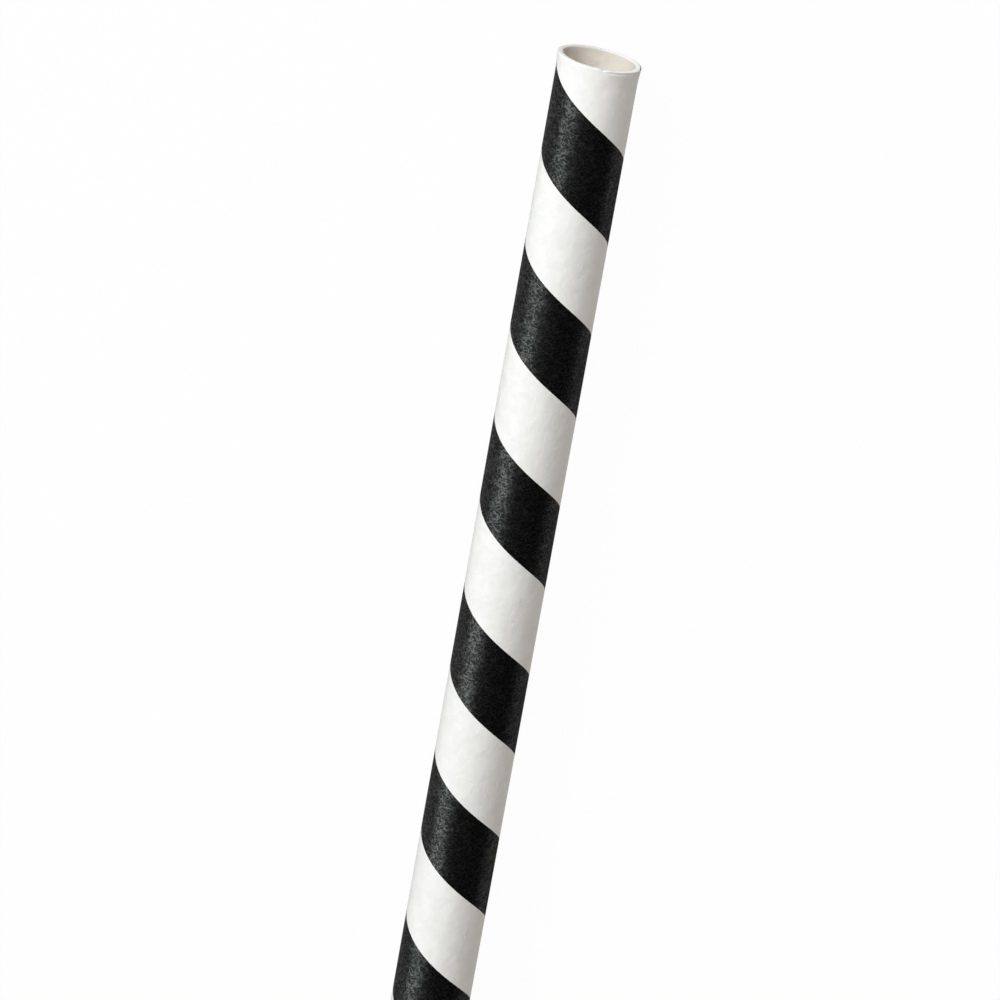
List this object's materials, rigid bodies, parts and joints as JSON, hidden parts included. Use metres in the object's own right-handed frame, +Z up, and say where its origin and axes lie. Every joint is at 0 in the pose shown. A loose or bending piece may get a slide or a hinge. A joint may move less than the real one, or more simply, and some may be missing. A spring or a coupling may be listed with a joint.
{
  "type": "paper drinking straw",
  "caption": "Straight drinking straw wound from paper, open at both ends, white with a black spiral stripe.",
  "frame": {"origin": "on the surface that the straw lies on, under the middle of its length", "axes": "+X along the straw, out of its drinking end; +Z up"},
  "size_m": [0.197, 0.006, 0.006],
  "materials": {
    "white_paper": "matt, uncoated, with a soft mottle",
    "black_paper": "matt print on uncoated paper, fibres showing in the sheen"
  },
  "bodies": {
    "root": {"straw_tube": "white_paper", "black_stripe": "black_paper"}
  },
  "joints": []
}
